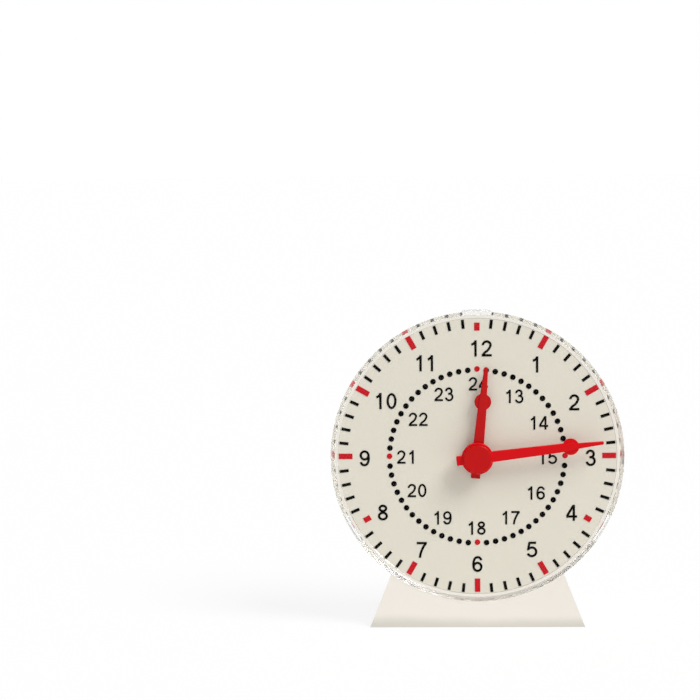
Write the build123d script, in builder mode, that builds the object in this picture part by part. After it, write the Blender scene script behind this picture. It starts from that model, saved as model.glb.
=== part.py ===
from build123d import *
from math import acos, cos, pi, radians, sin, tan
import os

# Teaching clock: a round geared student's clock on a hollow stand.
# Millimetres, +Z up. The dial looks along -Y, and +X is to the right of someone reading it.
# The origin is on the table, in the middle of the clock's width and depth.
# Heights are counted forwards from the printed face, so what lies behind it is negative.

os.makedirs("parts", exist_ok=True)

# Case
axis_height = 59.6
cover_radius = 50.0
cover_plate = 1.8
cover_rim_land = 0.15
cover_bevel_angle = 40.0
dial_thickness = 1.5
dial_clearance = 0.1
ink_thickness = 0.12
shell_depth = 12.0
shell_wall = 2.0
shell_rim_wall = 1.0
shell_floor = 1.6
shell_edge_round = 2.0

# Snap tabs of the clear cover, at 12, 4 and 8 o'clock
tab_count = 3
tab_width = 10.0
tab_length = 5.4
tab_clearance = 0.2
barb_height = 0.5
barb_length = 1.0

# Printed marks
tick_rim_gap = 0.3
minute_tick_length = 3.05
minute_tick_width = 1.0
hour_bar_length = 4.65
hour_bar_width = 1.85
top_bar_setback = 1.5
top_bar_length = 2.7
low_bar_setback = 2.5
low_bar_length = 2.45
red_print_lift = 0.3
dot_ring_inset = 8.2
dot_radius = 0.95
hour_numeral_height = 5.5
hour_numeral_stroke = 0.78
hour_numeral_inset = 9.1
hour_ring_flattening = 0.9
two_digit_shift = 1.2
late_numeral_height = 4.6
late_numeral_stroke = 0.65
late_numeral_inset = 5.8
late_ring_stretch = 0.3
digit_advance = 0.77
ones_kerning = 0.07
minute_count = 60
hour_count = 12
quarter_count = 4

# How far some numerals are printed from their even places, right and up
numeral_shifts = {
    1: (0.9, -0.6),
    3: (0.5, -0.5),
    4: (-0.8, -0.9),
    5: (-0.5, 0),
    8: (0.7, -0.6),
    9: (-0.3, -0.4),
    10: (0.6, 0.7),
    11: (0.2, 0),
    13: (0.5, -0.4),
    14: (0, -0.6),
    15: (-0.3, -0.4),
    16: (-1, -0.4),
    17: (-0.8, 0),
    18: (-0.4, -0.3),
    20: (0.3, 0.6),
    22: (0.8, 0.8),
    23: (0.8, 0.4),
    24: (0.4, 0.7),
}

# Hands, set at the time that the clock shows
minute_hand_angle = 83.0
hour_hand_angle = 5.7
hand_gap = 0.3
hub_radius = 5.45
hour_boss_radius = 5.0
hour_boss_thickness = 1.3
minute_boss_thickness = 1.6
hour_arm_thickness = 1.1
minute_arm_thickness = 1.4
node_thickness = 0.8
node_radius = 2.83
arm_root_width = 3.8
tail_width = 3.2
tail_length = 7.15
minute_node_distance = 31.9
minute_node_width = 2.8
minute_spear_width = 1.8
minute_length = 43.2
minute_tip_width = 1.0
hour_node_distance = 19.2
hour_node_width = 2.9
hour_spear_width = 2.3
hour_length = 31.2
hour_tip_width = 1.3
cap_radius = 4.85
cap_height = 1.2
cap_chamfer = 0.35
hand_edge_break = 0.15
cap_bore_depth = 0.7

# Motion work, twelve turns of the minute hand to one of the hour hand
gear_module = 0.7
pressure_angle = 25.0
tooth_root_depth = 1.25
tooth_thinning = 0.1
minute_pinion_teeth = 15
idler_wheel_teeth = 45
idler_pinion_teeth = 12
hour_wheel_teeth = 48
idler_direction = 90.0
gear_face = 2.0
pinion_overhang = 0.3
arbor_radius = 1.25
tube_wall = 1.3
post_radius = 1.0
running_clearance = 0.05
cover_bore_clearance = 0.3
end_play = 0.15
collar_height = 1.5
collar_wall = 1.6
washer_thickness = 0.3
washer_width = 1.6
spring_washer_height = 0.65
spring_washer_width = 2.0
spring_washer_play = 0.05
boss_wall = 2.3
bore_end_gap = 0.4
arbor_engagement = 2.9
post_engagement = 2.2
post_skin = 0.5
post_boss_wall = 1.4
ring_thickness = 0.6
ring_width = 1.5

# Stand
stand_width = 74.0
stand_side_slope = 21.5
stand_side_taper = 5.0
stand_height = 52.0
stand_front_setback = 0.6
stand_foot_depth = 43.4
stand_top_depth = 9.0
stand_edge_round = 1.2
stand_wall = 2.0
saddle_clearance = 0.3

# Screws that hold the stand to the rear shell
screw_spacing = 20.0
screw_drop = 26.0
screw_radius = 1.25
screw_length = 8.0
screw_head_radius = 2.7
screw_head_height = 1.8
screw_slot = 0.9
screw_boss_wall = 2.0
screw_boss_length = 6.0
screw_hole_clearance = 0.25
access_hole_clearance = 0.8

# Rings of the case and the dial, worked out inwards from the cover's rim. The rear shell ends
# where the bevel behind the cover's edge begins, and the dial plate lies inside its rim.
bevel_depth = cover_plate - cover_rim_land
shell_radius = cover_radius - bevel_depth * tan(radians(cover_bevel_angle))
tab_inner_radius = shell_radius + tab_clearance
barb_inner_radius = tab_inner_radius - barb_height
recess_radius = shell_radius - shell_rim_wall
dial_radius = recess_radius - dial_clearance
tick_outer_radius = dial_radius - tick_rim_gap
hour_numeral_x_radius = tick_outer_radius - hour_numeral_inset
hour_numeral_z_radius = hour_numeral_x_radius - hour_ring_flattening
dot_ring_radius = hour_numeral_x_radius - dot_ring_inset
late_numeral_x_radius = dot_ring_radius - late_numeral_inset
late_numeral_z_radius = late_numeral_x_radius + late_ring_stretch

# Heights of the stack along the dial's axis, worked out from the sizes above
cover_front = cover_plate
dial_front = -ink_thickness
dial_back = dial_front - dial_thickness
shell_back = dial_back - shell_depth
shell_inside = shell_back + shell_floor
hour_hand_base = cover_front + hand_gap
minute_hand_base = hour_hand_base + hour_boss_thickness + hand_gap
cap_base = minute_hand_base + minute_boss_thickness
hub_top = cap_base + cap_height
collar_back = dial_back - collar_height
hour_wheel_front = collar_back - end_play
hour_wheel_back = hour_wheel_front - gear_face
thrust_washer_front = hour_wheel_back - end_play
minute_pinion_front = thrust_washer_front - washer_thickness
idler_wheel_front = minute_pinion_front - pinion_overhang
idler_wheel_back = idler_wheel_front - gear_face
minute_pinion_back = idler_wheel_back - pinion_overhang
arbor_boss_front = minute_pinion_back - spring_washer_play - spring_washer_height
idler_front = hour_wheel_front + pinion_overhang
post_boss_back = idler_front + end_play
ring_front = idler_wheel_back - end_play
post_socket_front = ring_front - ring_thickness - end_play
arbor_back = arbor_boss_front - arbor_engagement
post_back = post_socket_front - post_engagement
tube_radius = arbor_radius + running_clearance + tube_wall

# The object is centred on its own depth, from the hub's top to the stand's back edge
stand_back_depth = stand_front_setback + stand_foot_depth
printed_face_y = (hub_top - stand_back_depth) / 2
face_plane = Plane(origin=(0, printed_face_y, axis_height), x_dir=(1, 0, 0), z_dir=(0, -1, 0))


def keep(piece, label):
    """Name a finished piece and write its own file."""
    piece.part.label = label
    export_step(piece.part, f"parts/{label}.step")


def clock_angle(degrees):
    """Turn an angle counted clockwise from 12 into one counted from the sketch's X axis."""
    return 90 - degrees


# A digit is drawn round the middle of its own height, which is 1 here and is scaled last.
# Its strokes have one width: two points give a straight stroke and three give an arc.
def digit_sketch(digit, height, stroke_width):
    stroke = stroke_width / height
    low = -0.5 + stroke / 2
    high = 0.5 - stroke / 2
    wide = 0.31 - stroke / 2
    rings = {
        "0": [(0, 0.31, 0.5)],
        "6": [(-0.18, 0.31, 0.32)],
        "8": [(-0.22, 0.31, 0.28), (0.26, 0.27, 0.24)],
        "9": [(0.18, 0.31, 0.32)],
    }
    strokes = {
        "1": [((0.08, 0.5), (0.08, -0.5)), ((-0.17, 0.23), (-0.02, 0.32), (0.1, 0.47))],
        "2": [
            ((-wide, 0.2), (0, high), (wide, 0.22)),
            ((wide, 0.22), (0.13, -0.04), (-0.04, -0.2)),
            ((-0.04, -0.2), (-0.17, -0.31), (-wide, low)),
            ((-0.31, low), (0.31, low)),
        ],
        "3": [
            ((-0.225, 0.24), (0.185, 0.24), (-0.056, 0.038)),
            ((-0.063, 0.037), (0.245, -0.2), (-0.241, -0.243)),
        ],
        "4": [((0.13, 0.5), (0.13, -0.5)), ((0.1, 0.46), (-0.29, -0.2)), ((-0.33, -0.23), (0.33, -0.23))],
        "5": [
            ((0.27, high), (-0.17, high)),
            ((-0.14, high + 0.03), (-0.225, -0.04)),
            ((-0.225, 0.0), (0.2, -0.33), (-wide, -0.25)),
        ],
        "6": [
            ((wide - 0.01, 0.24), (0.04, high), (-0.18, 0.32)),
            ((-0.18, 0.32), (-0.235, 0.15), (-wide, -0.18)),
        ],
        "7": [((-0.31, high), (0.31, high)), ((wide + 0.03, high), (0.0, -0.02), (-0.12, -0.5))],
        "9": [
            ((0.01 - wide, -0.24), (-0.04, low), (0.18, -0.32)),
            ((0.18, -0.32), (0.235, -0.15), (wide, 0.18)),
        ],
    }
    with BuildSketch() as glyph:
        for middle, half_width, half_height in rings.get(digit, []):
            with Locations((0, middle)):
                Ellipse(half_width, half_height)
        for middle, half_width, half_height in rings.get(digit, []):
            with Locations((0, middle)):
                Ellipse(half_width - stroke, half_height - stroke, mode=Mode.SUBTRACT)
        for points in strokes.get(digit, []):
            with BuildLine():
                if len(points) == 2:
                    Line(*points)
                else:
                    ThreePointArc(*points)
            trace(line_width=stroke)
    return glyph.sketch.scale(height)


def numeral_ring(numbers, height, stroke_width, x_radius, z_radius, wide_shift):
    """Printed numbers, upright, round an oval, each moved by its own shift if it has one.
    The two digits of 11 stand closer than the others."""
    glyphs = {digit: digit_sketch(digit, height, stroke_width) for digit in "0123456789"}
    with BuildPart() as ring:
        with BuildSketch(face_plane.offset(dial_front)):
            for number in numbers:
                angle = radians(clock_angle(360 / hour_count * number))
                text = str(number)
                right, up = numeral_shifts.get(number, (0, 0))
                middle = x_radius * cos(angle) + wide_shift * (len(text) - 1) + right
                advance = (digit_advance - (ones_kerning if text == "11" else 0)) * height
                for place, digit in enumerate(text):
                    digit_x = middle + (place - (len(text) - 1) / 2) * advance
                    with Locations((digit_x, z_radius * sin(angle) + up)):
                        add(glyphs[digit])
        extrude(amount=ink_thickness)
    return ring


def tab_outline(inner_radius, width):
    """Three pieces of a ring at 12, 4 and 8 o'clock, from a radius out to the cover's rim."""
    with BuildSketch() as outline:
        with PolarLocations(cover_radius, tab_count, start_angle=clock_angle(0)):
            Rectangle(width, width)
        Circle(cover_radius, mode=Mode.INTERSECT)
        Circle(inner_radius, mode=Mode.SUBTRACT)
    return outline.sketch


def ring_part(inner_radius, outer_radius, front, back, centre=(0, 0)):
    """A flat washer or push-on ring round an axis of the dial."""
    with BuildPart() as ring:
        with BuildSketch(face_plane.offset(back)):
            with Locations(centre):
                Circle(outer_radius)
                Circle(inner_radius, mode=Mode.SUBTRACT)
        extrude(amount=front - back)
    return ring


def gear_sketch(teeth, phase):
    """Full-depth gear with involute flanks, each flank drawn as one arc through three of
    its points. The phase is the angle of the middle of one tooth."""
    pressure = radians(pressure_angle)
    pitch_radius = gear_module * teeth / 2
    base_radius = pitch_radius * cos(pressure)
    tip_radius = pitch_radius + gear_module
    root_radius = pitch_radius - tooth_root_depth * gear_module
    flank_start = max(base_radius, root_radius)
    tooth_width = pi * gear_module / 2 - tooth_thinning

    def flank_point(radius, side):
        roll = acos(base_radius / radius)
        half_angle = tooth_width / 2 / pitch_radius
        half_angle += (tan(pressure) - pressure) - (tan(roll) - roll)
        return (radius * cos(half_angle), side * radius * sin(half_angle))

    def foot_point(side):
        x, y = flank_point(flank_start, side)
        inward = (root_radius - gear_module / 2) / flank_start
        return (x * inward, y * inward)

    flank_middle = (flank_start + tip_radius) / 2
    with BuildSketch() as tooth:
        with BuildLine():
            Line(foot_point(1), flank_point(flank_start, 1))
            ThreePointArc(*[flank_point(r, 1) for r in (flank_start, flank_middle, tip_radius)])
            ThreePointArc(flank_point(tip_radius, 1), (tip_radius, 0), flank_point(tip_radius, -1))
            ThreePointArc(*[flank_point(r, -1) for r in (tip_radius, flank_middle, flank_start)])
            Line(flank_point(flank_start, -1), foot_point(-1))
            Line(foot_point(-1), foot_point(1))
        make_face()
    with BuildSketch() as gear:
        Circle(root_radius)
        with PolarLocations(0, teeth, start_angle=phase):
            add(tooth.sketch)
    return gear.sketch


def hand_part(base, boss_radius, boss_thickness, arm_thickness, bore_radius, angle,
              node_distance, node_width, spear_width, length, tip_width):
    """A moulded hand: round boss, tapering arm through a thinner round node to a narrower
    spear with a round tip, and a short tail behind the boss."""
    node_end = node_distance + node_radius
    tip_distance = length - tip_width / 2
    direction = radians(clock_angle(angle))
    hand_plane = Plane(
        origin=face_plane.offset(base).origin,
        x_dir=(cos(direction), 0, sin(direction)),
        z_dir=face_plane.z_dir,
    )
    with BuildPart() as hand:
        with BuildSketch(hand_plane):
            with BuildLine():
                Polyline(
                    (0, arm_root_width / 2),
                    (node_distance, node_width / 2),
                    (node_end, spear_width / 2),
                    (tip_distance, tip_width / 2),
                    (tip_distance, -tip_width / 2),
                    (node_end, -spear_width / 2),
                    (node_distance, -node_width / 2),
                    (0, -arm_root_width / 2),
                    close=True,
                )
            make_face()
            with Locations((tip_distance, 0)):
                Circle(tip_width / 2)
            with Locations((-tail_length / 2, 0)):
                Rectangle(tail_length, tail_width)
        extrude(amount=arm_thickness)
        chamfer(hand.edges().group_by(Axis.Y)[0], hand_edge_break)
        with BuildSketch(hand_plane):
            with Locations((node_distance, 0)):
                Circle(node_radius)
        extrude(amount=node_thickness)
        with BuildSketch(hand_plane):
            Circle(boss_radius)
        extrude(amount=boss_thickness)
        chamfer(hand.edges().group_by(Axis.Y)[0], hand_edge_break)
        with BuildSketch(hand_plane):
            Circle(bore_radius)
        extrude(amount=boss_thickness, mode=Mode.SUBTRACT)
    return hand


def stand_block(inset, drop):
    """The stand's outer block, or the same block with every face but the open bottom moved
    in by a wall. The drop carries it below the table, to cut the bottom open. The front is
    carried back and down, along both sloping sides at once, so the block narrows backwards."""
    side_run = tan(radians(stand_side_slope))
    taper_run = tan(radians(stand_side_taper))
    side_inset = inset * (1 + side_run**2 + taper_run**2) ** 0.5
    sink = stand_foot_depth * taper_run / side_run
    front = printed_face_y + stand_front_setback
    foot_back = front + stand_foot_depth
    top_back = printed_face_y - shell_back + stand_top_depth
    back_run = (foot_back - top_back) / stand_height
    back_inset = inset * (1 + back_run**2) ** 0.5
    top = stand_height - inset

    def half_width(z):
        return stand_width / 2 - z * side_run - side_inset

    def back(z):
        return foot_back - z * back_run - back_inset

    with BuildPart() as block:
        with BuildSketch(Plane.XZ.offset(-front)):
            with BuildLine():
                Polyline(
                    (-half_width(-drop), -drop),
                    (half_width(-drop), -drop),
                    (half_width(top + sink), top + sink),
                    (-half_width(top + sink), top + sink),
                    close=True,
                )
            make_face()
        extrude(amount=(stand_foot_depth**2 + sink**2) ** 0.5, dir=(0, stand_foot_depth, -sink))
        with BuildSketch(Plane.YZ):
            with BuildLine():
                Polyline(
                    (front + inset, -drop),
                    (back(-drop), -drop),
                    (back(top), top),
                    (front + inset, top),
                    close=True,
                )
            make_face()
        extrude(amount=stand_width, both=True, mode=Mode.INTERSECT)
    return block


# Clear front cover: a disc bevelled behind its edge, which mirrors the ticks, with a hole for
# the hands' shafts and three tabs that interrupt the bevel and snap onto the rear shell
with BuildPart() as clear_cover:
    with BuildSketch(face_plane):
        Circle(cover_radius)
    extrude(amount=cover_plate)
    chamfer(clear_cover.edges().group_by(Axis.Y)[-1], bevel_depth, cover_radius - shell_radius)
    with BuildSketch(face_plane):
        Circle(tube_radius + cover_bore_clearance)
    extrude(amount=cover_plate, mode=Mode.SUBTRACT)
    with BuildSketch(face_plane.offset(-tab_length)):
        add(tab_outline(tab_inner_radius, tab_width))
    extrude(amount=tab_length + bevel_depth)
    with BuildSketch(face_plane.offset(-tab_length)):
        add(tab_outline(barb_inner_radius, tab_width))
    extrude(amount=barb_length)
keep(clear_cover, "clear_cover")

# Dial plate: carries the print, the collar that the hour tube turns in, and the idler's post
idler_angle = radians(idler_direction)
centre_distance = gear_module * (minute_pinion_teeth + idler_wheel_teeth) / 2
idler_centre = (centre_distance * cos(idler_angle), centre_distance * sin(idler_angle))
with BuildPart() as dial_plate:
    with BuildSketch(face_plane.offset(dial_back)):
        Circle(dial_radius)
    extrude(amount=dial_thickness)
    with BuildSketch(face_plane.offset(collar_back)):
        Circle(tube_radius + running_clearance + collar_wall)
    extrude(amount=collar_height)
    with BuildSketch(face_plane.offset(post_boss_back)):
        with Locations(idler_centre):
            Circle(post_radius + post_boss_wall)
    extrude(amount=dial_back - post_boss_back)
    with BuildSketch(face_plane.offset(collar_back)):
        Circle(tube_radius + running_clearance)
    extrude(amount=dial_front - collar_back, mode=Mode.SUBTRACT)
    with BuildSketch(face_plane.offset(post_boss_back)):
        with Locations(idler_centre):
            Circle(post_radius)
    extrude(amount=dial_front - post_skin - post_boss_back, mode=Mode.SUBTRACT)
keep(dial_plate, "dial_plate")

# Printed marks, a thin layer of ink between the dial plate and the clear cover
minutes_per_hour_mark = minute_count // hour_count
minute_step = 360 / minute_count
with BuildPart() as minute_ticks:
    with BuildSketch(face_plane.offset(dial_front)):
        for minute in range(1, minutes_per_hour_mark):
            with PolarLocations(
                tick_outer_radius - minute_tick_length / 2,
                hour_count,
                start_angle=clock_angle(minute * minute_step),
            ):
                Rectangle(minute_tick_length, minute_tick_width)
    extrude(amount=ink_thickness)
keep(minute_ticks, "minute_ticks")

# The bars at 12, 4 and 8 o'clock are short, and stop before the ring that the ticks touch
short_bars = {
    0: (top_bar_setback, top_bar_length),
    4: (low_bar_setback, low_bar_length),
    8: (low_bar_setback, low_bar_length),
}
with BuildPart() as hour_bars:
    with BuildSketch(face_plane.offset(dial_front)):
        with Locations((0, red_print_lift)):
            for hour in range(hour_count):
                setback, length = short_bars.get(hour, (0, hour_bar_length))
                middle = tick_outer_radius - setback - length / 2
                with PolarLocations(middle, 1, start_angle=clock_angle(hour * 360 / hour_count)):
                    Rectangle(length, hour_bar_width)
    extrude(amount=ink_thickness)
keep(hour_bars, "hour_bars")

minutes_per_quarter = minute_count // quarter_count
with BuildPart() as minute_dots:
    with BuildSketch(face_plane.offset(dial_front)):
        for minute in range(1, minutes_per_quarter):
            with PolarLocations(dot_ring_radius, quarter_count, start_angle=minute * minute_step):
                Circle(dot_radius)
    extrude(amount=ink_thickness)
keep(minute_dots, "minute_dots")

with BuildPart() as quarter_dots:
    with BuildSketch(face_plane.offset(dial_front)):
        with Locations((0, red_print_lift)):
            with PolarLocations(dot_ring_radius, quarter_count):
                Circle(dot_radius)
    extrude(amount=ink_thickness)
keep(quarter_dots, "quarter_dots")

hour_numerals = numeral_ring(
    range(1, hour_count + 1), hour_numeral_height, hour_numeral_stroke,
    hour_numeral_x_radius, hour_numeral_z_radius, two_digit_shift,
)
keep(hour_numerals, "hour_numerals")

late_numerals = numeral_ring(
    range(hour_count + 1, 2 * hour_count + 1), late_numeral_height, late_numeral_stroke,
    late_numeral_x_radius, late_numeral_z_radius, 0,
)
keep(late_numerals, "late_numerals")

# Rear shell: a cup with a rim round the dial plate, bearings for the arbor and the idler's
# post, two screw bosses for the stand, and three pockets for the cover's barbs
with BuildPart() as rear_shell:
    with BuildSketch(face_plane.offset(shell_back)):
        Circle(shell_radius)
    extrude(amount=-shell_back)
    fillet(rear_shell.edges().group_by(Axis.Y)[-1], shell_edge_round)
    with BuildSketch(face_plane.offset(shell_inside)):
        Circle(shell_radius - shell_wall)
    extrude(amount=dial_back - shell_inside, mode=Mode.SUBTRACT)
    with BuildSketch(face_plane.offset(dial_back)):
        Circle(recess_radius)
    extrude(amount=-dial_back, mode=Mode.SUBTRACT)
    with BuildSketch(face_plane.offset(shell_inside)):
        Circle(arbor_radius + boss_wall)
    extrude(amount=arbor_boss_front - shell_inside)
    with BuildSketch(face_plane.offset(shell_inside)):
        with Locations(idler_centre):
            Circle(post_radius + boss_wall)
    extrude(amount=post_socket_front - shell_inside)
    with BuildSketch(face_plane.offset(shell_inside)):
        with Locations((0, -screw_drop)):
            with GridLocations(screw_spacing, 0, 2, 1):
                Circle(screw_radius + screw_boss_wall)
    extrude(amount=screw_boss_length)
    with BuildSketch(face_plane.offset(arbor_back - bore_end_gap)):
        Circle(arbor_radius + running_clearance)
    extrude(amount=arbor_boss_front - arbor_back + bore_end_gap, mode=Mode.SUBTRACT)
    with BuildSketch(face_plane.offset(post_back)):
        with Locations(idler_centre):
            Circle(post_radius)
    extrude(amount=post_socket_front - post_back, mode=Mode.SUBTRACT)
    with BuildSketch(face_plane.offset(shell_back)):
        with Locations((0, -screw_drop)):
            with GridLocations(screw_spacing, 0, 2, 1):
                Circle(screw_radius)
    extrude(amount=screw_length - stand_wall + bore_end_gap, mode=Mode.SUBTRACT)
    with BuildSketch(face_plane.offset(-tab_length - tab_clearance)):
        add(tab_outline(barb_inner_radius - tab_clearance, tab_width + 2 * tab_clearance))
    extrude(amount=barb_length + 2 * tab_clearance, mode=Mode.SUBTRACT)
keep(rear_shell, "rear_shell")

# Idler's post, and the ring pushed onto it behind the gear
with BuildPart() as idler_post:
    with BuildSketch(face_plane.offset(post_back)):
        with Locations(idler_centre):
            Circle(post_radius)
    extrude(amount=dial_front - post_skin - post_back)
keep(idler_post, "idler_post")

idler_ring = ring_part(
    post_radius, post_radius + ring_width, ring_front, ring_front - ring_thickness, idler_centre
)
keep(idler_ring, "idler_ring")

# Idler: a wheel driven by the minute pinion, moulded with the pinion that drives the hour
# wheel. At rest a gap of each wheel faces a tooth of its pinion on the line of centres.
toward_idler = idler_direction
toward_arbor = idler_direction + 180
idler_wheel_outline = gear_sketch(idler_wheel_teeth, toward_arbor + 180 / idler_wheel_teeth)
idler_pinion_outline = gear_sketch(idler_pinion_teeth, toward_arbor)
with BuildPart() as idler_gear:
    with BuildSketch(face_plane.offset(idler_wheel_back)):
        with Locations(idler_centre):
            add(idler_wheel_outline)
    extrude(amount=gear_face)
    with BuildSketch(face_plane.offset(idler_wheel_front)):
        with Locations(idler_centre):
            add(idler_pinion_outline)
    extrude(amount=idler_front - idler_wheel_front)
    with BuildSketch(face_plane.offset(idler_wheel_back)):
        with Locations(idler_centre):
            Circle(post_radius + running_clearance)
    extrude(amount=idler_front - idler_wheel_back, mode=Mode.SUBTRACT)
keep(idler_gear, "idler_gear")

# Hour wheel, moulded with the tube that carries the hour hand
hour_wheel_outline = gear_sketch(hour_wheel_teeth, toward_idler + 180 / hour_wheel_teeth)
hour_hand_front = hour_hand_base + hour_boss_thickness
with BuildPart() as hour_wheel:
    with BuildSketch(face_plane.offset(hour_wheel_back)):
        add(hour_wheel_outline)
    extrude(amount=gear_face)
    with BuildSketch(face_plane.offset(hour_wheel_front)):
        Circle(tube_radius)
    extrude(amount=hour_hand_front - hour_wheel_front)
    with BuildSketch(face_plane.offset(hour_wheel_back)):
        Circle(arbor_radius + running_clearance)
    extrude(amount=hour_hand_front - hour_wheel_back, mode=Mode.SUBTRACT)
keep(hour_wheel, "hour_wheel")

# Minute arbor, from its bearing in the rear shell to the cap on the hub
with BuildPart() as minute_arbor:
    with BuildSketch(face_plane.offset(arbor_back)):
        Circle(arbor_radius)
    extrude(amount=cap_base + cap_bore_depth - arbor_back)
keep(minute_arbor, "minute_arbor")

# Minute pinion, pressed onto the arbor
minute_pinion_outline = gear_sketch(minute_pinion_teeth, toward_idler)
with BuildPart() as minute_pinion:
    with BuildSketch(face_plane.offset(minute_pinion_back)):
        add(minute_pinion_outline)
        Circle(arbor_radius, mode=Mode.SUBTRACT)
    extrude(amount=minute_pinion_front - minute_pinion_back)
keep(minute_pinion, "minute_pinion")

# Thrust washer between the hour wheel and the minute pinion
thrust_washer = ring_part(
    arbor_radius + running_clearance, arbor_radius + washer_width,
    thrust_washer_front, thrust_washer_front - washer_thickness,
)
keep(thrust_washer, "thrust_washer")

# Dished friction washer, its outer edge on the arbor's bearing and its inner edge by the
# pinion, so that the hands stay where they are put
dish_inner = arbor_radius + washer_thickness
with BuildPart() as friction_washer:
    with BuildSketch(Plane(face_plane.origin, x_dir=(1, 0, 0), z_dir=(0, 0, 1))):
        with BuildLine():
            Polyline(
                (dish_inner, -arbor_boss_front - spring_washer_height),
                (dish_inner, washer_thickness - arbor_boss_front - spring_washer_height),
                (dish_inner + spring_washer_width, -arbor_boss_front),
                (dish_inner + spring_washer_width, -arbor_boss_front - washer_thickness),
                close=True,
            )
        make_face()
    revolve(axis=Axis(face_plane.origin, (0, 1, 0)))
keep(friction_washer, "friction_washer")

# Hands and the cap that covers the arbor's end
hour_hand = hand_part(
    hour_hand_base, hour_boss_radius, hour_boss_thickness, hour_arm_thickness, tube_radius,
    hour_hand_angle,
    hour_node_distance, hour_node_width, hour_spear_width, hour_length, hour_tip_width,
)
keep(hour_hand, "hour_hand")

minute_hand = hand_part(
    minute_hand_base, hub_radius, minute_boss_thickness, minute_arm_thickness, arbor_radius,
    minute_hand_angle,
    minute_node_distance, minute_node_width, minute_spear_width, minute_length, minute_tip_width,
)
keep(minute_hand, "minute_hand")

with BuildPart() as hub_cap:
    with BuildSketch(face_plane.offset(cap_base)):
        Circle(cap_radius)
    extrude(amount=cap_height)
    chamfer(hub_cap.edges().group_by(Axis.Y)[0], cap_chamfer)
    with BuildSketch(face_plane.offset(cap_base)):
        Circle(arbor_radius)
    extrude(amount=cap_bore_depth, mode=Mode.SUBTRACT)
keep(hub_cap, "hub_cap")

# Stand: a hollow block open at the bottom, with a round saddle for the rear shell, a column
# against the shell's back, and access holes for a screwdriver through its sloping back
saddle_radius = shell_radius + saddle_clearance
stand_outside = stand_block(0, 0)
stand_inside = stand_block(stand_wall, stand_wall)
with BuildPart() as stand_hollow:
    add(stand_inside.part)
    with BuildSketch(face_plane):
        Circle(saddle_radius + stand_wall)
    extrude(amount=shell_back - stand_wall, mode=Mode.SUBTRACT)
with BuildPart() as stand:
    add(stand_outside.part)
    sloping_edges = stand.edges().filter_by(Plane.XY, reverse=True).filter_by(Plane.YZ, reverse=True)
    fillet(sloping_edges, stand_edge_round)
    with BuildSketch(face_plane):
        Circle(saddle_radius)
    extrude(amount=shell_back, mode=Mode.SUBTRACT)
    add(stand_hollow.part, mode=Mode.SUBTRACT)
    with BuildSketch(face_plane.offset(shell_back - stand_wall)):
        with Locations((0, -screw_drop)):
            with GridLocations(screw_spacing, 0, 2, 1):
                Circle(screw_radius + screw_hole_clearance)
    extrude(amount=stand_wall, mode=Mode.SUBTRACT)
    with BuildSketch(face_plane.offset(shell_back - stand_wall - screw_head_height)):
        with Locations((0, -screw_drop)):
            with GridLocations(screw_spacing, 0, 2, 1):
                Circle(screw_head_radius + access_hole_clearance)
    extrude(amount=-stand_foot_depth, mode=Mode.SUBTRACT)
keep(stand, "stand")

# Two slotted screws that hold the stand to the rear shell
with BuildPart() as stand_screws:
    with BuildSketch(face_plane.offset(shell_back - stand_wall)):
        with Locations((0, -screw_drop)):
            with GridLocations(screw_spacing, 0, 2, 1):
                Circle(screw_head_radius)
    extrude(amount=-screw_head_height)
    with BuildSketch(face_plane.offset(shell_back - stand_wall)):
        with Locations((0, -screw_drop)):
            with GridLocations(screw_spacing, 0, 2, 1):
                Circle(screw_radius)
    extrude(amount=screw_length)
    with BuildSketch(face_plane.offset(shell_back - stand_wall - screw_head_height)):
        with Locations((0, -screw_drop)):
            with GridLocations(screw_spacing, 0, 2, 1):
                Rectangle(screw_slot, 2 * screw_head_radius)
    extrude(amount=screw_head_height / 2, mode=Mode.SUBTRACT)
keep(stand_screws, "stand_screws")
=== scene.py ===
"""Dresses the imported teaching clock: surfaces, finishes and the studio that it is seen in."""

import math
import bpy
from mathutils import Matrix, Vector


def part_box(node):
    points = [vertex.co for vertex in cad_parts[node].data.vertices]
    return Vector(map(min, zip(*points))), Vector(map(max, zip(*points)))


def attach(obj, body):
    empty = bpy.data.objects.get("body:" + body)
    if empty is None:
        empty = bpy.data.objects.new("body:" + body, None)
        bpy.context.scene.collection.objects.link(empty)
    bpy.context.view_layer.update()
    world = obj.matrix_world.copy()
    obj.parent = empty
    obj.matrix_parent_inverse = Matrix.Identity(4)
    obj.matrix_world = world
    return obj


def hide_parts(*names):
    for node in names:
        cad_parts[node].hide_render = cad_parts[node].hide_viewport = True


bl_info = {
    "name": "Geared Teaching Clock",
    "version": (1, 0, 0),
    "blender": (4, 5, 0),
    "location": "3D View > Sidebar > Teaching Clock",
    "description": "Builds the surfaces, finishes and studio of a geared teaching clock",
    "category": "Object",
}

import bmesh
import bpy
import numpy as np
from bpy.props import FloatProperty, FloatVectorProperty, PointerProperty
from mathutils import Matrix, Quaternion, Vector

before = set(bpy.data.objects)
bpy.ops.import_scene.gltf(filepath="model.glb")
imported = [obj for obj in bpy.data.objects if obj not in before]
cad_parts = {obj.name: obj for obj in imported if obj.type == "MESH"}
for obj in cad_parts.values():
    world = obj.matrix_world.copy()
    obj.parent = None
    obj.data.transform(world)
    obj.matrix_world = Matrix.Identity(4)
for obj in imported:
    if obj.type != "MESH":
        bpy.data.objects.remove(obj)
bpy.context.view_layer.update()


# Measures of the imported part. Heights are counted forwards from the printed face.
def corners(node):
    """Lowest and highest corner of a CAD node, rounded to a micrometre."""
    low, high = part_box(node)
    return np.round(np.array(low, float), 6), np.round(np.array(high, float), 6)


FACE_Y = float(corners("minute_ticks")[0][1])
COVER_LOW, COVER_HIGH = corners("clear_cover")
AXIS_Z = float(COVER_LOW[2] + COVER_HIGH[2]) / 2


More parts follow.
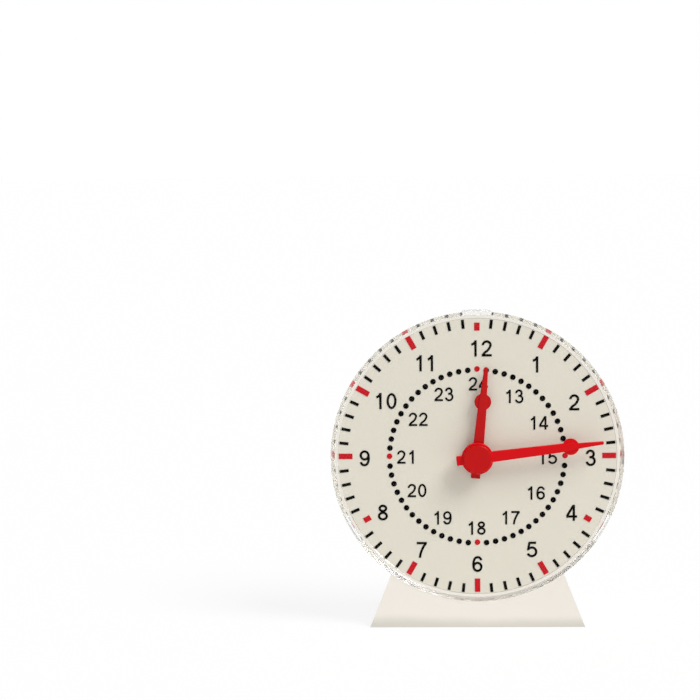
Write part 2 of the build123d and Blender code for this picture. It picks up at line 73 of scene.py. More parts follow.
def half_width(node):
    """Half of a CAD node's width."""
    low, high = corners(node)
    return float(high[0] - low[0]) / 2


def heights(node):
    """Height of a CAD node's back and of its front."""
    low, high = corners(node)
    return FACE_Y - float(high[1]), FACE_Y - float(low[1])


def distance(name, default, description):
    """A size in metres."""
    return FloatProperty(
        name=name, default=default, description=description, min=0.0, unit="LENGTH", precision=5
    )


def angle(name, degrees, description):
    """A turn, shown in degrees."""
    return FloatProperty(
        name=name, default=math.radians(degrees), description=description, subtype="ANGLE"
    )


def colour(name, red, green, blue, description):
    """A colour written as eight-bit sRGB and kept as linear light."""
    linear = [
        ((c / 255 + 0.055) / 1.055) ** 2.4 if c > 10 else c / 255 / 12.92
        for c in (red, green, blue)
    ]
    return FloatVectorProperty(
        name=name, default=linear, description=description, subtype="COLOR", min=0.0, max=1.0
    )


class CoverSettings(bpy.types.PropertyGroup):
    """Sizes of the clear front cover."""

    radius: distance("Radius", half_width("clear_cover"), "Outer radius")
    plate: distance("Plate", heights("clear_cover")[1], "Thickness of the disc")
    land: distance("Land", 0.00015, "Straight edge left in front of the bevel")
    bevel: angle("Bevel", 41.0, "Slope of the bevelled edge from the axis")
    edge_round: distance("Edge round", 0.0001, "Rounding of the front edge")
    bore: distance("Bore", 0.0029, "Radius of the hole for the hands' shafts")
    contact: distance("Contact", 0.00013, "How far the disc reaches into print and dial")
    overlap: distance("Overlap", 0.001, "How far the disc's back covers the shell's rim")
    press: distance("Press", 0.00001, "How far the disc's back presses on the shell's rim")
    haze: FloatProperty(
        name="Haze", default=0.07, description="Frosting of the edge", min=0.0, max=1.0
    )
    tab_width: distance("Tab width", 0.01, "Width of a snap tab")
    tab_gap: distance("Tab gap", 0.0002, "Between a tab and the rear shell")
    barb_height: distance("Barb height", 0.0005, "How far a barb stands in")
    barb_length: distance("Barb length", 0.001, "Length of a barb along the axis")
    barb_flat: distance("Barb flat", 0.0004, "Length of the barb's flat top along the axis")


class HandSettings(bpy.types.PropertyGroup):
    """Sizes of the two hands and the cap."""

    minute_angle: angle("Minute hand's angle", 83.0, "Clockwise from 12, at rest")
    hour_angle: angle("Hour hand's angle", 5.7, "Clockwise from 12, at rest")
    arm_root_width: distance("Arm root", 0.0038, "Width of an arm at the hub")
    tail_width: distance("Tail width", 0.0032, "Width of the tail behind the hub")
    tail_length: distance("Tail length", 0.00715, "Length of the tail from the axis")
    node_radius: distance("Node radius", 0.00283, "Radius of the round node on an arm")
    node_thickness: distance("Node thickness", 0.0008, "Thickness of the node")
    edge_round: distance("Edge round", 0.0003, "Rounding of the front edges")
    side_round: distance("Side round", 0.001, "Rounding where an arm's sides change direction")
    spear_round: distance("Spear round", 0.0005, "Rounding where the spear starts")
    minute_boss_radius: distance("Hub radius", 0.00545, "Radius of the minute hand's boss")
    minute_node_distance: distance("Minute node", 0.0319, "From the axis to the node")
    minute_node_width: distance("Minute arm at node", 0.0028, "Width of the arm at the node")
    minute_spear_width: distance("Minute spear", 0.0018, "Width of the spear behind the node")
    minute_tip_width: distance("Minute tip", 0.001, "Width of the tip")
    minute_length: distance("Minute hand", 0.0432, "From the axis to the tip")
    minute_arm_thickness: distance("Minute arm", 0.0014, "Thickness of the arm")
    hour_boss_radius: distance("Hour boss", 0.005, "Radius of the hour hand's boss")
    hour_node_distance: distance("Hour node", 0.0192, "From the axis to the node")
    hour_node_width: distance("Hour arm at node", 0.0029, "Width of the arm at the node")
    hour_spear_width: distance("Hour spear", 0.0023, "Width of the spear behind the node")
    hour_tip_width: distance("Hour tip", 0.0013, "Width of the tip")
    hour_length: distance("Hour hand", 0.0312, "From the axis to the tip")
    hour_arm_thickness: distance("Hour arm", 0.0011, "Thickness of the arm")
    hour_bore: distance("Hour bore", 0.0026, "Radius of the tube that carries the hour hand")
    cap_dish: distance("Cap dish", 0.00006, "Depth of the shallow dish in the cap")
    cap_round: distance("Cap round", 0.00045, "Rounding of the cap's edge")


class FinishSettings(bpy.types.PropertyGroup):
    """Colours of the finishes."""

    clear: colour("Clear plastic", 252, 254, 254, "Tint of the cover")
    dial: colour("Dial", 222, 216, 201, "Colour of the dial plate")
    white: colour("White plastic", 234, 228, 219, "Colour of the case and the stand")
    # The hour hand's and the cap's reds are darker copies of the minute hand's red: painted shade,
    # standing in for the shade that falls on them.
    minute_red: colour("Minute hand", 209, 4, 14, "Colour of the minute hand")
    hour_red: colour("Hour hand", 183, 17, 18, "Colour of the hour hand")
    cap_red: colour("Cap", 189, 3, 5, "Colour of the hub cap")
    gear: colour("Gears", 228, 226, 214, "Colour of the wheels and pinions")
    black_ink: colour("Black ink", 3, 3, 4, "Colour of the black print")
    red_ink: colour("Red ink", 196, 27, 37, "Colour of the red print")
    steel: colour("Steel", 190, 190, 192, "Colour of the shafts, washers and screws")


class StudioSettings(bpy.types.PropertyGroup):
    """Camera, lamps and floor."""

    azimuth: angle("Azimuth", -1.05, "Camera's turn round the clock")
    elevation: angle("Elevation", 9.15, "Camera's height above the dial's axis, as an angle")
    roll: angle("Roll", -0.1, "Camera's turn about its own axis")
    camera_distance: distance("Distance", 0.8897, "From the camera to the middle of the dial")
    floor_size: distance("Floor", 6.0, "Width of the floor")
    key: FloatProperty(
        name="Key lamp", default=2.35, description="Strength of the key lamp", min=0.0
    )
    key_size: angle("Key lamp's size", 28.0, "Angle that the lamp fills, which softens its shadows")
    key_azimuth: angle("Key lamp's azimuth", 53.91, "Turn of the lamp to the right of the clock")
    key_elevation: angle("Key lamp's elevation", 48.53, "Height of the lamp, as an angle")
    fill: FloatProperty(
        name="Fill", default=0.5, description="Strength of the even light from all round", min=0.0
    )


class ClockSettings(bpy.types.PropertyGroup):
    """Everything that can be changed before the clock is built."""

    cover: PointerProperty(type=CoverSettings)
    hands: PointerProperty(type=HandSettings)
    finishes: PointerProperty(type=FinishSettings)
    studio: PointerProperty(type=StudioSettings)


# Surfaces
SAME_POINT = 1e-7
SHARP_FROM = math.radians(35.0)


def on_dial(right, up, forward):
    """The scene's points for places on the dial: right and up across it from its axis, and
    forward from the printed face."""
    right, up, forward = np.broadcast_arrays(right, up, forward)
    return np.stack([right, FACE_Y - forward, AXIS_Z + up], axis=-1)


def rounded(outline, radius, steps=7):
    """A closed outline with round corners. Each corner c becomes an arc, drawn as the
    rational quadratic curve (u²a + 2uvwc + v²b) / (u² + 2uvw + v²) with v from 0 to 1 and
    u = 1 - v. The points a and b lie radius·tan(turn / 2) before and after the corner, and
    the weight w is the cosine of half the turn."""
    corner = np.asarray(outline, float)
    radius = np.broadcast_to(np.asarray(radius, float), len(corner))[:, None]
    before = np.roll(corner, 1, axis=0) - corner
    after = np.roll(corner, -1, axis=0) - corner
    before /= np.linalg.norm(before, axis=1, keepdims=True)
    after /= np.linalg.norm(after, axis=1, keepdims=True)
    cosine = np.clip((before * after).sum(axis=1, keepdims=True), -1, 1)
    half_turn = (math.pi - np.arccos(cosine)) / 2
    reach = radius * np.tan(half_turn)
    start, end = corner + before * reach, corner + after * reach
    weight = np.cos(half_turn)[:, None]
    v = np.linspace(0, 1, steps)[None, :, None]
    u = 1 - v
    top = u * u * start[:, None] + 2 * u * v * weight * corner[:, None] + v * v * end[:, None]
    return (top / (u * u + 2 * u * v * weight + v * v)).reshape(-1, 2)


def circle(radius, count, centre=(0.0, 0.0)):
    """A circle's points: radius·(cos t, sin t) round its centre."""
    turn = np.linspace(0, 2 * math.pi, count, endpoint=False)
    return np.stack([centre[0] + radius * np.cos(turn), centre[1] + radius * np.sin(turn)], axis=-1)


def wrapped_quads(rows, columns, close_rows):
    """Corner numbers of the quads of a grid whose columns wrap round, and whose rows do too
    where the surface closes on itself."""
    row = np.arange(rows if close_rows else rows - 1)[:, None]
    column = np.arange(columns)[None, :]
    next_row, next_column = (row + 1) % rows, (column + 1) % columns
    quads = np.stack(
        [
            row * columns + column,
            row * columns + next_column,
            next_row * columns + next_column,
            next_row * columns + column,
        ],
        axis=-1,
    )
    return quads.reshape(-1, 4).tolist()


def shell(points, close_rows=False, cap=False):
    """A closed mesh from a grid of points. Points that fall together become one, an open
    end may be capped, and the faces are turned outwards."""
    rows, columns = points.shape[:2]
    faces = wrapped_quads(rows, columns, close_rows)
    if cap:
        faces += [list(range(columns)), list(range((rows - 1) * columns, rows * columns))]
    mesh = bpy.data.meshes.new("shell")
    mesh.from_pydata(points.reshape(-1, 3), [], faces)
    work = bmesh.new()
    work.from_mesh(mesh)
    bmesh.ops.remove_doubles(work, verts=work.verts, dist=SAME_POINT)
    bmesh.ops.recalc_face_normals(work, faces=work.faces)
    work.to_mesh(mesh)
    work.free()
    return mesh


def turned(profile, count):
    """A turned surface: the profile's point (r, h) is carried round the axis to
    (r cos t, r sin t, h). The profile is a closed loop, or starts and ends on the axis, where
    the surface closes at its poles."""
    profile = np.asarray(profile, float)
    turn = np.linspace(0, 2 * math.pi, count, endpoint=False)[None, :]
    radius, forward = profile[:, :1], profile[:, 1:]
    return shell(on_dial(radius * np.cos(turn), radius * np.sin(turn), forward), close_rows=True)


def inset(outline, amount):
    """An outline moved inwards: each point goes against the outline's outward normal, which
    is its tangent turned by a right angle."""
    tangent = np.roll(outline, -1, axis=0) - np.roll(outline, 1, axis=0)
    tangent /= np.linalg.norm(tangent, axis=1, keepdims=True)
    outward = np.stack([tangent[:, 1], -tangent[:, 0]], axis=-1)
    return outline - outward * amount


def moulded_plate(outline, low, high, edge, place, steps=6):
    """A plate with a rounded front edge. A quarter circle is carried along the outline: at
    its angle t the outline is moved in by edge·(1 - sin t) at height high - edge·(1 - cos t).
    The flat back and front close the ends."""
    following = np.roll(outline, -1, axis=0)
    area = (outline[:, 0] * following[:, 1] - outline[:, 1] * following[:, 0]).sum()
    outline = outline if area > 0 else outline[::-1]
    gap = np.linalg.norm(outline - np.roll(outline, 1, axis=0), axis=1)
    outline = outline[gap > SAME_POINT]
    turn = np.linspace(math.pi / 2, 0, steps)
    ends = [(0.0, low)]
    ends += [(edge * (1 - math.sin(t)), high - edge * (1 - math.cos(t))) for t in turn]
    rings = [place(*inset(outline, amount).T, forward) for amount, forward in ends]
    return shell(np.stack(rings), cap=True)


def combined(base, others, operation):
    """The base mesh joined with or cut by the others."""
    holder = bpy.data.objects.new("work", base)
    bpy.context.scene.collection.objects.link(holder)
    tools = [bpy.data.objects.new("tool", other) for other in others]
    for tool in tools:
        bpy.context.scene.collection.objects.link(tool)
        cut = holder.modifiers.new("cut", "BOOLEAN")
        cut.operation = operation
        cut.solver = "EXACT"
        cut.object = tool
    graph = bpy.context.evaluated_depsgraph_get()
    mesh = bpy.data.meshes.new_from_object(holder.evaluated_get(graph))
    for used in [holder] + tools:
        bpy.data.objects.remove(used)
    return mesh


def put(name, mesh, material, body, replaced):
    """Places a finished piece: its mesh, material, body and the CAD node it stands for."""
    mesh.name = name
    piece = bpy.data.objects.new(name, mesh)
    bpy.context.scene.collection.objects.link(piece)
    mesh.materials.clear()
    mesh.materials.append(material)
    mesh.shade_smooth()
    mesh.set_sharp_from_angle(angle=SHARP_FROM)
    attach(piece, body)
    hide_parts(replaced)


def dress(nodes, material):
    """Gives carried-over CAD nodes a finish."""
    for node in nodes:
        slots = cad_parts[node].data.materials
        slots.clear()
        slots.append(material)


# Finishes
class Signal:
    """A number that varies over a surface. Arithmetic on it adds Math nodes."""

    def __init__(self, finish, socket):
        self.finish = finish
        self.socket = socket

    def math(self, operation, first, second):
        node = self.finish.add("ShaderNodeMath", {"operation": operation}, {0: first, 1: second})
        return Signal(self.finish, node.outputs[0])

    def __add__(self, other):
        return self.math("ADD", self, other)

    def __radd__(self, other):
        return self.math("ADD", other, self)

    def __sub__(self, other):
        return self.math("SUBTRACT", self, other)

    def __rsub__(self, other):
        return self.math("SUBTRACT", other, self)

    def __mul__(self, other):
        return self.math("MULTIPLY", self, other)

    def __rmul__(self, other):
        return self.math("MULTIPLY", other, self)

    def most(self, other):
        return self.math("MAXIMUM", self, other)


class Finish:
    """A node tree under construction."""

    def __init__(self, tree):
        self.tree = tree
        tree.nodes.clear()

    def add(self, kind, settings=(), sockets=()):
        """Adds a node. Its settings come first, then the values or links of its sockets."""
        node = self.tree.nodes.new(kind)
        for name, value in dict(settings).items():
            setattr(node, name, value)
        for name, value in dict(sockets).items():
            if isinstance(value, Signal):
                self.tree.links.new(value.socket, node.inputs[name])
            elif isinstance(value, bpy.types.NodeSocket):
                self.tree.links.new(value, node.inputs[name])
            else:
                node.inputs[name].default_value = value
        return node

    def place(self, centre=(0.0, 0.0, 0.0)):
        """Object coordinates, counted from a centre."""
        coordinates = self.add("ShaderNodeTexCoord").outputs["Object"]
        shift = tuple(-c for c in centre)
        node = self.add("ShaderNodeMapping", (), {"Vector": coordinates, "Location": shift})
        return node.outputs["Vector"]

    def noise(self, place, scale, detail=2.0):
        """Soft random pattern between 0 and 1, with features of about 1 / scale metres."""
        node = self.add(
            "ShaderNodeTexNoise",
            {"noise_dimensions": "3D"},
            {"Vector": place, "Scale": scale, "Detail": detail, "Roughness": 0.5},
        )
        return Signal(self, node.outputs[0])

    def off_axis(self, place):
        """Distance from the dial's axis, in coordinates centred on it."""
        across = (1.0, 0.0, 1.0)
        flat = self.add("ShaderNodeVectorMath", {"operation": "MULTIPLY"}, {0: place, 1: across})
        length = self.add("ShaderNodeVectorMath", {"operation": "LENGTH"}, {0: flat.outputs[0]})
        return Signal(self, length.outputs["Value"])

    def ramp(self, signal, low, high):
        """0 below low, 1 above high, and a smooth rise between them."""
        node = self.add(
            "ShaderNodeMapRange",
            {"interpolation_type": "SMOOTHSTEP"},
            {0: signal, 1: low, 2: high, 3: 0.0, 4: 1.0},
        )
        return Signal(self, node.outputs[0])

    def blend(self, mask, first, second):
        """The first colour where the mask is 0 and the second where it is 1."""
        node = self.add("ShaderNodeMix", {"data_type": "RGBA"}, {0: mask, 6: first, 7: second})
        return node.outputs[2]

    def bump(self, height, strength, depth):
        """A normal tipped by a height map."""
        node = self.add(
            "ShaderNodeBump", (), {"Strength": strength, "Distance": depth, "Height": height}
        )
        return node.outputs["Normal"]

    def mixed(self, mask, first, second):
        """The first shader where the mask is 0 and the second where it is 1."""
        return self.add(
            "ShaderNodeMixShader", (), {0: mask, 1: first.outputs[0], 2: second.outputs[0]}
        )

    def close(self, shader):
        """Joins the last shader to the output."""
        self.add("ShaderNodeOutputMaterial", (), {"Surface": shader.outputs[0]})


def tone(rgb, factor):
    """A colour made lighter or darker, as RGBA."""
    return tuple(min(1.0, c * factor) for c in rgb) + (1.0,)


def new_finish(name):
    """An empty material and its finish."""
    material = bpy.data.materials.new(name)
    material.use_nodes = True
    return material, Finish(material.node_tree)


def rays(finish, *kinds):
    """1 for any of these kinds of ray and 0 for the others."""
    path = finish.add("ShaderNodeLightPath")
    signals = [Signal(finish, path.outputs[kind]) for kind in kinds]
    total = signals[0]
    for signal in signals[1:]:
        total = total.most(signal)
    return total


def clear_plastic(tint, edge, haze):
    """Clear moulded plastic: faint waves from the mould, a few fine scuffs, and a slightly
    frosted edge outside a radius round the dial's axis. The lamp's light and diffuse rays
    pass straight through it."""
    material, finish = new_finish("clear_plastic")
    place = finish.place((0.0, 0.0, AXIS_Z))
    waves = finish.noise(place, 45.0, detail=1.0)
    scuffs = finish.ramp(finish.noise(place, 900.0, detail=4.0), 0.62, 0.75)
    fade = 0.0001
    frosted = finish.ramp(finish.off_axis(place), edge - fade, edge + fade)
    shader = finish.add(
        "ShaderNodeBsdfPrincipled",
        (),
        {
            "Base Color": finish.blend(waves, tone(tint, 1.0), tone(tint, 0.985)),
            "Roughness": 0.015 + 0.05 * scuffs + 0.08 * frosted,
            "IOR": 1.49,
            "Transmission Weight": 1.0,
            "Specular Tint": (0.1, 0.1, 0.1, 1.0),
            "Normal": finish.bump(waves, 0.15, 0.0002),
        },
    )
    frost = finish.add("ShaderNodeBsdfDiffuse", (), {"Color": tone(tint, 1.0)})
    lamps = finish.add("ShaderNodeBsdfTransparent")
    passing = rays(finish, "Is Shadow Ray", "Is Diffuse Ray")
    finish.close(finish.mixed(passing, finish.mixed(haze * frosted, shader, frost), lamps))
    return material


def moulded_plastic(name, rgb, roughness, mottle=0.02, grain=0.35, shine=0.5, painted_foot_shade=0.0):
    """Moulded plastic: a slow change of tone from the flow of the melt, a fine spark-eroded grain,
    and where it is asked for painted shade that greys the colour towards the bottom, standing in
    for the shade near the floor."""
    material, finish = new_finish(name)
    place = finish.place()
    flow = finish.noise(place, 28.0, detail=3.0)
    fine = finish.noise(place, 3600.0, detail=2.0)
    specks = finish.ramp(finish.noise(place, 1500.0, detail=1.0), 0.7, 0.78)
    shade = finish.blend(flow, tone(rgb, 1 + mottle), tone(rgb, 1 - mottle))
    shade = finish.blend(0.10 * specks, shade, tone(rgb, 0.72))
    if painted_foot_shade:
        # Painted shade: the colour turns a darker grey in the lowest few millimetres, standing in
        # for the shade where the part meets the floor.
        height = Signal(finish, finish.add("ShaderNodeSeparateXYZ", (), {0: place}).outputs[2])
        low = 1 - finish.ramp(height + 0.004 * flow, 0.002, 0.007)
        shade = finish.blend(painted_foot_shade * low, shade, tone((rgb[0] * 0.97, rgb[1], rgb[2] * 0.97), 0.7))
    shader = finish.add(
        "ShaderNodeBsdfPrincipled",
        (),
        {
            "Base Color": shade,
            "Roughness": roughness + 0.10 * fine - 0.05,
            "Specular IOR Level": shine,
            "Normal": finish.bump(fine + 0.4 * flow, grain, 0.00002),
        },
    )
    finish.close(shader)
    return material


def printed_ink(name, rgb):
    """Screen-printed ink: nearly even, with thin spots that let a little of the dial through."""
    material, finish = new_finish(name)
    place = finish.place()
    thin = finish.ramp(finish.noise(place, 1100.0, detail=3.0), 0.66, 0.8)
    fine = finish.noise(place, 5200.0)
    paler = tone([c + 0.05 for c in rgb], 1.0)
    shader = finish.add(
        "ShaderNodeBsdfPrincipled",
        (),
        {
            "Base Color": finish.blend(0.2 * thin, tone(rgb, 1.0), paler),
            "Roughness": 0.55 + 0.15 * fine,
            "Specular IOR Level": 0.05,
            "Normal": finish.bump(fine, 0.2, 0.00001),
        },
    )
    finish.close(shader)
    return material


def turned_steel(name, rgb, centre):
    """Turned steel: rings of fine tool marks round an axis of the dial."""
    material, finish = new_finish(name)
    place = finish.place((centre[0], 0.0, AXIS_Z + centre[1]))
    rings = finish.add(
        "ShaderNodeTexNoise",
        {"noise_dimensions": "1D"},
        {"W": 9000.0 * finish.off_axis(place), "Scale": 1.0, "Detail": 2.0},
    )
    marks = Signal(finish, rings.outputs[0])
    cloud = finish.noise(place, 400.0, detail=3.0)
    shader = finish.add(
        "ShaderNodeBsdfPrincipled",
        (),
        {
            "Base Color": finish.blend(cloud, tone(rgb, 1.05), tone(rgb, 0.88)),
            "Metallic": 1.0,
            "Roughness": 0.24 + 0.2 * marks,
            "Normal": finish.bump(marks, 0.3, 0.00001),
        },
    )
    finish.close(shader)
    return material


# Operators
class ClockOperator(bpy.types.Operator):
    """Shared part of the operators that build the clock."""

    bl_options = {"REGISTER", "UNDO"}

    @property
    def settings(self):
        return bpy.context.scene.teaching_clock


class CLOCK_OT_cover(ClockOperator):
    """Build the clear cover: a disc bevelled behind its edge, with a bore and three snap tabs"""

    bl_idname = "clock.cover"
    bl_label = "Clear Cover"

    def execute(self, context):
        s = self.settings.cover
        fine, finest = s.edge_round / 2, s.edge_round / 10
        rim = half_width("rear_shell")
        bevel_depth = s.plate - s.land
        profile = rounded(
            [
                (s.bore, -s.contact),
                (s.bore, s.plate),
                (s.radius, s.plate),
                (s.radius, bevel_depth),
                (s.radius - bevel_depth * math.tan(s.bevel), -s.press),
                (rim - s.overlap, -s.press),
                (half_width("dial_plate"), -s.contact),
            ],
            [0.0, fine, s.edge_round, fine, finest, finest, finest],
            steps=8,
        )
        disc = turned(profile, count=360)
        middles = np.radians([90.0, 210.0, 330.0])
        tabs = [self.tab(s, rim + s.tab_gap, middle) for middle in middles]
        material = clear_plastic(self.settings.finishes.clear, rim, s.haze)
        put(
            "clear_cover_lens", combined(disc, tabs, "UNION"), material,
            "case", "clear_cover",
        )
        return {"FINISHED"}

    def tab(self, s, inner, middle):
        """A snap tab: its section (r, h), with a barb at the back end, is carried round the
        axis to (r cos t, r sin t, h), with t within half the tab's width of its middle. The
        section starts inside the disc, and its outside lies a step in from the disc's, so
        that no two skins fall together where the tab joins the disc."""
        back = heights("clear_cover")[0]
        step_in = 0.00002
        outer = s.radius - step_in
        barb_top, barb_tip = back + s.barb_length, inner - s.barb_height
        section = rounded(
            [
                (inner, s.plate * 0.9),
                (inner, barb_top),
                (barb_tip, barb_top),
                (barb_tip, barb_top - s.barb_flat),
                (inner, back),
                (outer, back),
                (outer, s.plate * 0.96),
            ],
            np.array([0, 1, 1, 1, 1, 2, 0]) * s.edge_round,
            steps=4,
        )
        reach = math.asin(s.tab_width / 2 / s.radius)
        turn = np.linspace(middle - reach, middle + reach, 9)[:, None]
        radius, forward = section[None, :, 0], section[None, :, 1]
        return shell(on_dial(radius * np.cos(turn), radius * np.sin(turn), forward), cap=True)


class CLOCK_OT_dial(ClockOperator):
    """Finish the dial plate and the print on it"""

    bl_idname = "clock.dial"
    bl_label = "Dial and Print"

    def execute(self, context):
        s = self.settings.finishes
        dress(["dial_plate"], moulded_plastic("dial_plastic", s.dial, 0.5, mottle=0.015))
        dress(
            ["minute_ticks", "minute_dots", "hour_numerals", "late_numerals"],
            printed_ink("black_ink", s.black_ink),
        )
        dress(["hour_bars", "quarter_dots"], printed_ink("red_ink", s.red_ink))
        return {"FINISHED"}


class CLOCK_OT_hands(ClockOperator):
    """Build the two hands: boss, tapering arm, round node, spear and tail"""

    bl_idname = "clock.hands"
    bl_label = "Hands"

    def execute(self, context):
        s, finishes = self.settings.hands, self.settings.finishes
        minute = {
            "turn": s.minute_angle, "node_distance": s.minute_node_distance,
            "node_width": s.minute_node_width, "spear_width": s.minute_spear_width,
            "tip_width": s.minute_tip_width, "length": s.minute_length,
            "arm_thickness": s.minute_arm_thickness, "boss_radius": s.minute_boss_radius,
            "bore_radius": half_width("minute_arbor"),
        }
        hour = {
            "turn": s.hour_angle, "node_distance": s.hour_node_distance,
            "node_width": s.hour_node_width, "spear_width": s.hour_spear_width,
            "tip_width": s.hour_tip_width, "length": s.hour_length,
            "arm_thickness": s.hour_arm_thickness, "boss_radius": s.hour_boss_radius,
            "bore_radius": s.hour_bore,
        }
        for kind, rgb, sizes in (
            ("minute", finishes.minute_red, minute), ("hour", finishes.hour_red, hour),
        ):
            red = moulded_plastic(
                f"{kind}_red_plastic", rgb, 0.36, mottle=0.03, grain=0.15, shine=0.12
            )
            put(
                f"{kind}_hand_moulding", self.hand(s, *heights(f"{kind}_hand"), **sizes), red,
                f"{kind}_train", f"{kind}_hand",
            )
        return {"FINISHED"}

    def hand(
        self, s, base, front, turn, node_distance, node_width, spear_width, tip_width, length,
        arm_thickness, boss_radius, bore_radius,
    ):
        """One hand, lying flat from its base height to its front: an arm whose width changes
        in straight lines between six places, joined with a node and a boss, and bored."""
        along_x, along_z = math.sin(turn), math.cos(turn)

        def across(along, side, forward):
            return on_dial(
                along * along_x - side * along_z, along * along_z + side * along_x, forward
            )

        half = [
            (-s.tail_length, s.tail_width / 2),
            (-s.tail_length / 3, s.tail_width / 2),
            (0.0, s.arm_root_width / 2),
            (node_distance, node_width / 2),
            (node_distance + s.node_radius, spear_width / 2),
            (length, tip_width / 2),
        ]
        outline = half + [(along, -side) for along, side in reversed(half)]
        tip_round = tip_width / 2 * 0.98
        radii = [s.edge_round, s.side_round, s.side_round, s.side_round, s.spear_round, tip_round]
        outline = rounded(outline, radii + radii[::-1])
        arm = moulded_plate(outline, base, base + arm_thickness, s.edge_round, across)
        node = moulded_plate(
            circle(s.node_radius, 96, centre=(node_distance, 0.0)),
            base, base + s.node_thickness, s.edge_round / 2, across,
        )
        boss = moulded_plate(circle(boss_radius, 160), base, front, s.edge_round, across)
        past = 0.001
        bore = moulded_plate(circle(bore_radius, 64), base - past, front + past, past / 10, across)
        return combined(combined(boss, [arm, node], "UNION"), [bore], "DIFFERENCE")


class CLOCK_OT_cap(ClockOperator):
    """Build the cap in the middle of the hub"""

    bl_idname = "clock.cap"
    bl_label = "Hub Cap"

    def execute(self, context):
        s = self.settings.hands
        base, front = heights("hub_cap")
        radius = half_width("hub_cap")
        profile = rounded(
            [
                (0.0, base),
                (radius, base),
                (radius, front),
                (radius * 0.86, front),
                (0.0, front - s.cap_dish),
            ],
            [0.0, s.edge_round / 3, s.cap_round, radius / 12, 0.0],
        )
        cap = turned(profile, count=160)
        rgb = self.settings.finishes.cap_red
        red = moulded_plastic("cap_red_plastic", rgb, 0.3, mottle=0.03, grain=0.15, shine=0.15)
        put("hub_cap_moulding", cap, red, "minute_train", "hub_cap")
        return {"FINISHED"}


class CLOCK_OT_works(ClockOperator):
    """Finish the wheels, pinions, shafts and washers inside the case"""

    bl_idname = "clock.works"
    bl_label = "Motion Work"

    def execute(self, context):
        s = self.settings.finishes
        gear = moulded_plastic("gear_plastic", s.gear, 0.42, mottle=0.03, grain=0.2)
        dress(["minute_pinion", "idler_gear", "hour_wheel"], gear)
        dress(
            ["minute_arbor", "thrust_washer", "friction_washer"],
            turned_steel("arbor_steel", s.steel, (0.0, 0.0)),
        )
        low, high = corners("idler_post")
        post_centre = ((low[0] + high[0]) / 2, (low[2] + high[2]) / 2 - AXIS_Z)
        dress(["idler_post", "idler_ring"], turned_steel("post_steel", s.steel, post_centre))
        return {"FINISHED"}


class CLOCK_OT_case(ClockOperator):
    """Finish the rear shell, the stand and its screws"""

    bl_idname = "clock.case"
    bl_label = "Case and Stand"

    def execute(self, context):
        s = self.settings.finishes
        dress(["rear_shell"], moulded_plastic("shell_plastic", s.white, 0.4, mottle=0.012))
        # The stand's colour gets painted shade, darker towards its bottom edge.
        dress(["stand"], moulded_plastic("stand_plastic", s.white, 0.4, mottle=0.02, painted_foot_shade=0.8))
        dress(["stand_screws"], turned_steel("screw_steel", s.steel, (0.0, 0.0)))
        return {"FINISHED"}


WHITE = (1.0, 1.0, 1.0, 1.0)
SEEN_BACKGROUND = ("Is Camera Ray", "Is Glossy Ray", "Is Transmission Ray")


def direction(azimuth, elevation):
    """The direction out from the clock at an angle to the right and one upwards."""
    return Vector(
        (
            math.sin(azimuth) * math.cos(elevation),
            -math.cos(azimuth) * math.cos(elevation),
            math.sin(elevation),
        )
    )


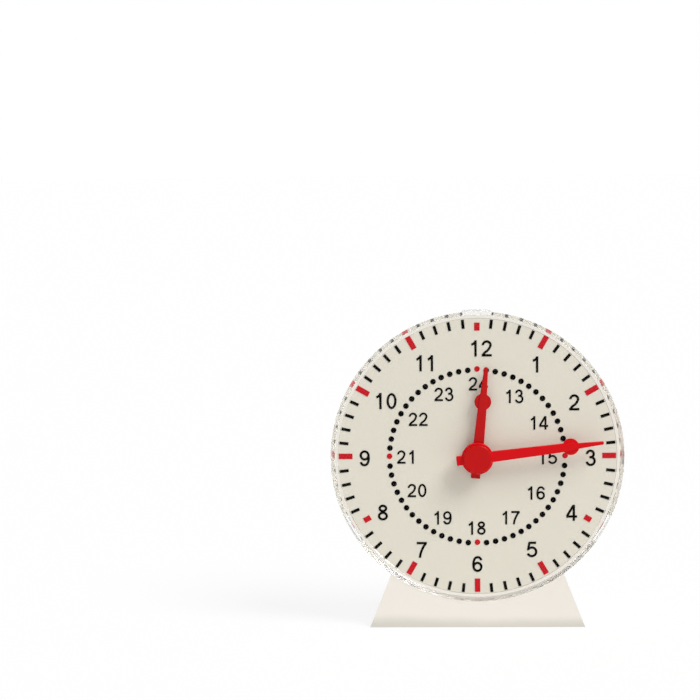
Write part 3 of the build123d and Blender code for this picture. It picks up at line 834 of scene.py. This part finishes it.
class CLOCK_OT_studio(ClockOperator):
    """Lay the pale floor and set the lamps, the even light and the camera"""

    bl_idname = "clock.studio"
    bl_label = "Studio"

    def execute(self, context):
        s = self.settings.studio
        self.lay_floor(s)
        self.set_light(s)
        self.set_camera(s)
        return {"FINISHED"}

    def lay_floor(self, s):
        """A round floor, level with the table."""
        turn = np.linspace(0, 2 * math.pi, 96, endpoint=False)
        points = np.stack([np.cos(turn), np.sin(turn), 0 * turn], axis=-1) * s.floor_size / 2
        mesh = bpy.data.meshes.new("floor")
        mesh.from_pydata(points, [], [list(range(len(points)))])
        floor = bpy.data.objects.new("floor", mesh)
        bpy.context.scene.collection.objects.link(floor)
        material, finish = new_finish("floor_paper")
        pale = (0.9, 0.9, 0.9, 1.0)
        paper = finish.add("ShaderNodeBsdfPrincipled", (), {"Base Color": pale, "Roughness": 0.9})
        glow = finish.add("ShaderNodeEmission", (), {"Color": WHITE, "Strength": 1.0})
        seen = rays(finish, *SEEN_BACKGROUND)
        glowing = 0.85
        finish.close(finish.mixed(glowing * seen, paper, glow))
        mesh.materials.append(material)

    def set_light(self, s):
        """Even white light from all round, and a large soft lamp above and to the right."""
        world = bpy.data.worlds.new("studio")
        bpy.context.scene.world = world
        world.use_nodes = True
        finish = Finish(world.node_tree)
        seen = rays(finish, *SEEN_BACKGROUND)
        even = finish.add(
            "ShaderNodeBackground", (),
            {"Color": WHITE, "Strength": s.fill + (1.0 - s.fill) * seen},
        )
        finish.add("ShaderNodeOutputWorld", (), {"Surface": even.outputs[0]})
        lamp = bpy.data.lights.new("key", "SUN")
        lamp.angle = s.key_size
        lamp.energy = s.key
        key = bpy.data.objects.new("key", lamp)
        bpy.context.scene.collection.objects.link(key)
        middle = Vector((0.0, FACE_Y, AXIS_Z))
        toward = direction(s.key_azimuth, s.key_elevation)
        key.matrix_world = Matrix.LocRotScale(
            middle + toward * s.camera_distance, toward.to_track_quat("Z", "Y"), Vector((1, 1, 1))
        )

    def set_camera(self, s):
        """The camera looks along the photograph's direction. The middle of the dial falls at
        its pixel in a 700 by 700 image: the camera is turned by the angle between that
        pixel's ray and the middle ray, and then rolled."""
        focal_pixels, width = 2600.0, 700.0
        pixel = (477.2, 456.5)
        middle = Vector((0.0, FACE_Y, AXIS_Z))
        outward = direction(s.azimuth, s.elevation)
        right = (-outward).cross(Vector((0, 0, 1))).normalized()
        up = right.cross(-outward)
        facing = Matrix((right, up, outward)).transposed()
        sideways, downwards = pixel[0] - width / 2, pixel[1] - width / 2
        ray = Vector((sideways, -downwards, -focal_pixels)).normalized()
        offset = Vector((0, 0, -1)).rotation_difference(ray).to_matrix()
        roll = Quaternion((0, 0, 1), s.roll).to_matrix()
        turn = facing @ roll @ offset.transposed()
        data = bpy.data.cameras.new("camera")
        data.sensor_width = 36.0
        data.lens = focal_pixels / width * data.sensor_width
        data.clip_end = 100.0
        camera = bpy.data.objects.new("camera", data)
        bpy.context.scene.collection.objects.link(camera)
        place = Matrix.Translation(middle + outward * s.camera_distance)
        camera.matrix_world = place @ turn.to_4x4()
        bpy.context.scene.camera = camera
        bpy.context.scene.view_settings.view_transform = "Standard"


OPERATORS = (
    CLOCK_OT_cover,
    CLOCK_OT_dial,
    CLOCK_OT_hands,
    CLOCK_OT_cap,
    CLOCK_OT_works,
    CLOCK_OT_case,
    CLOCK_OT_studio,
)


class CLOCK_PT_panel(bpy.types.Panel):
    """Lists the steps that build the clock, and the settings"""

    bl_label = "Teaching Clock"
    bl_space_type = "VIEW_3D"
    bl_region_type = "UI"
    bl_category = "Teaching Clock"

    def draw(self, context):
        settings = context.scene.teaching_clock
        for operator in OPERATORS:
            self.layout.operator(operator.bl_idname)
        for group in (settings.cover, settings.hands, settings.finishes, settings.studio):
            box = self.layout.box()
            for name in group.bl_rna.properties.keys():
                if name not in {"rna_type", "name"}:
                    box.prop(group, name)


CLASSES = (
    CoverSettings,
    HandSettings,
    FinishSettings,
    StudioSettings,
    ClockSettings,
    *OPERATORS,
    CLOCK_PT_panel,
)


def register():
    """Makes the settings, the operators and the panel known to Blender."""
    for made in CLASSES:
        bpy.utils.register_class(made)
    bpy.types.Scene.teaching_clock = PointerProperty(type=ClockSettings)


def unregister():
    """Takes them out again."""
    del bpy.types.Scene.teaching_clock
    for made in reversed(CLASSES):
        bpy.utils.unregister_class(made)


def main():
    """Builds the clock step by step."""
    register()
    bpy.ops.clock.cover()
    bpy.ops.clock.dial()
    bpy.ops.clock.hands()
    bpy.ops.clock.cap()
    bpy.ops.clock.works()
    bpy.ops.clock.case()
    bpy.ops.clock.studio()


if __name__ == "__main__":
    main()
